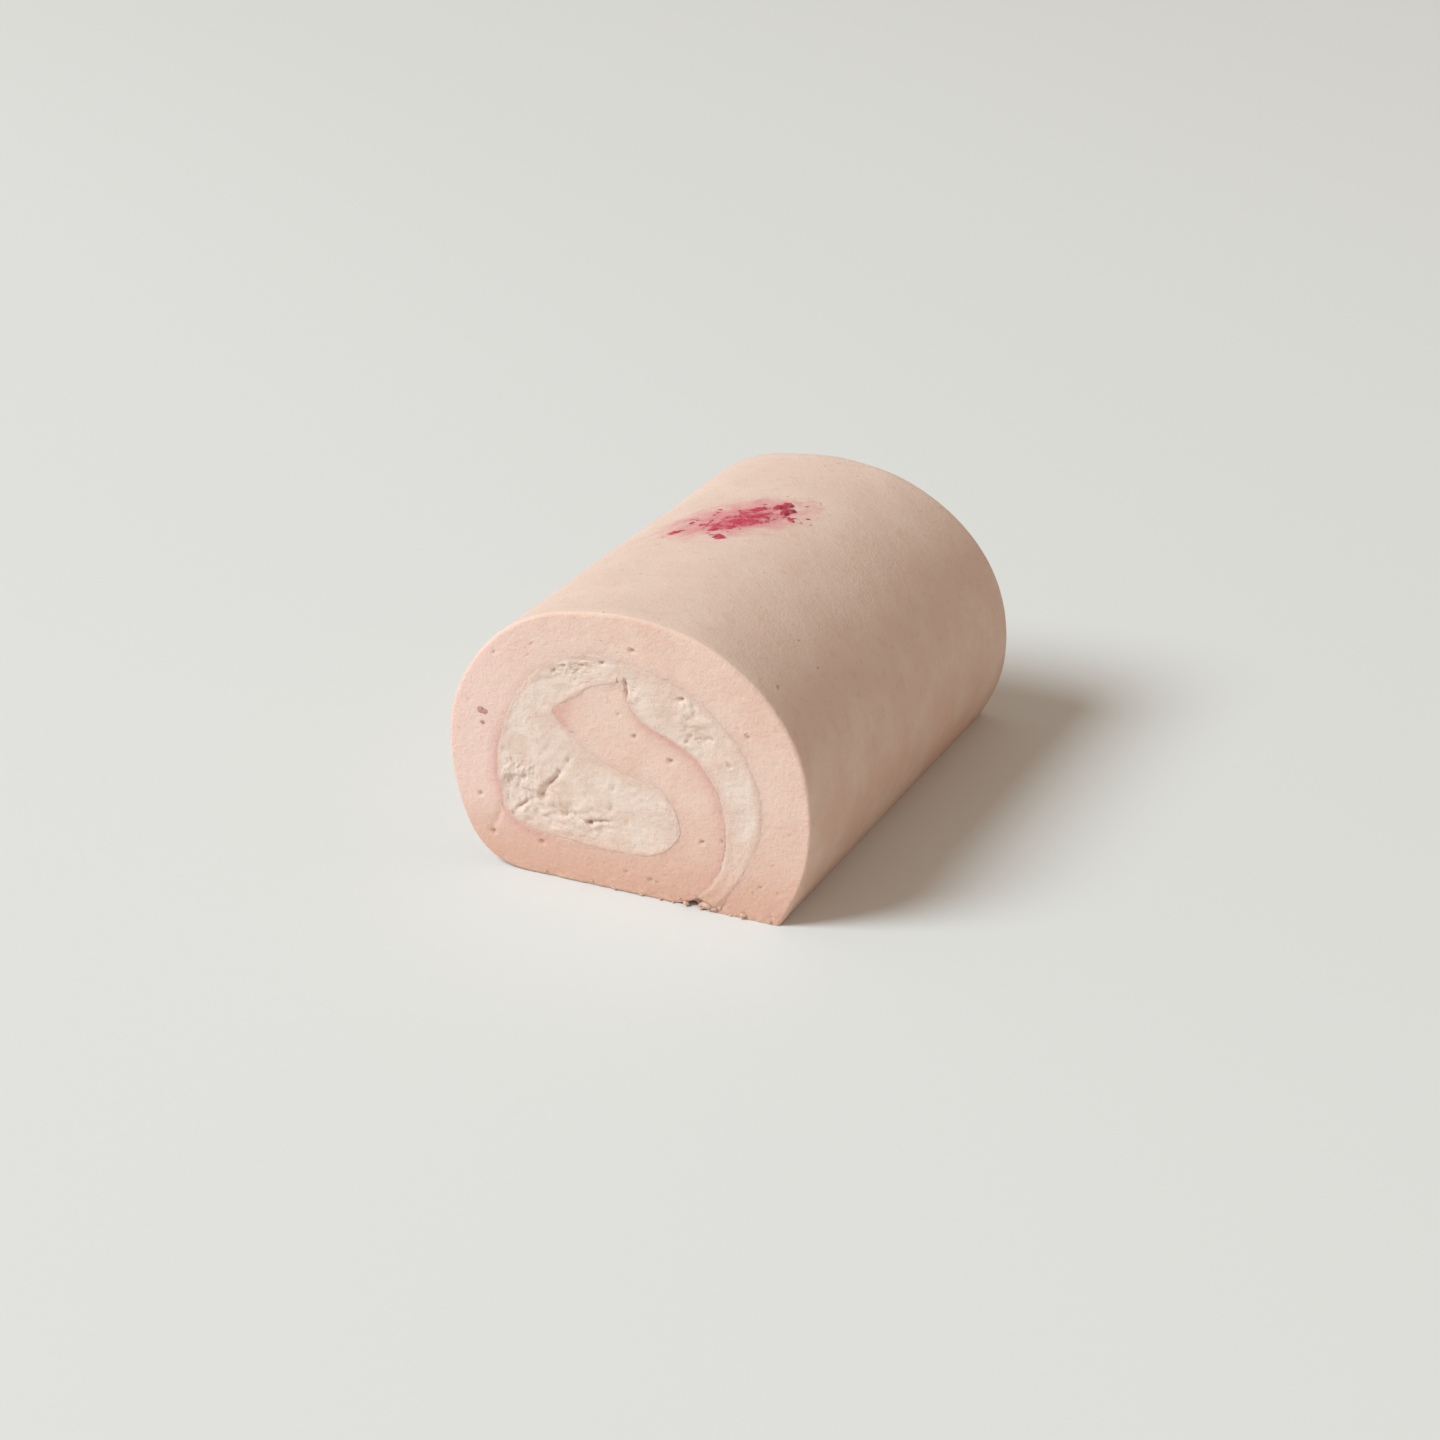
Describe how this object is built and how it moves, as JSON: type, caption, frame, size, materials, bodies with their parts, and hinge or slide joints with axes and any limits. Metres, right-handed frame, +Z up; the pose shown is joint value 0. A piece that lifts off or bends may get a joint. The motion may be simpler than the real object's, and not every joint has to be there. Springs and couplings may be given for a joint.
{
  "type": "swiss roll cake",
  "caption": "Pink sponge swiss roll, level cut at the front, with a thick spiral of pale cream filling around a wide inner tongue of sponge; rests on its flat underside.",
  "frame": {"origin": "middle of the underside, where the roll rests", "axes": "+Y along the roll, from the level cut towards the slanted cut; +X to the right when the level cut is seen from the front, the side where the sheet ends; +Z up"},
  "size_m": [0.1024, 0.145, 0.0768],
  "materials": {
    "sponge": "soft matte baked sponge: fine even crumb on the cut, thin smooth skin outside",
    "cream": "whipped cream, semi-matte, cut and dragged by the knife"
  },
  "bodies": {
    "root": {"sponge": "sponge", "cream": "cream"}
  },
  "joints": []
}
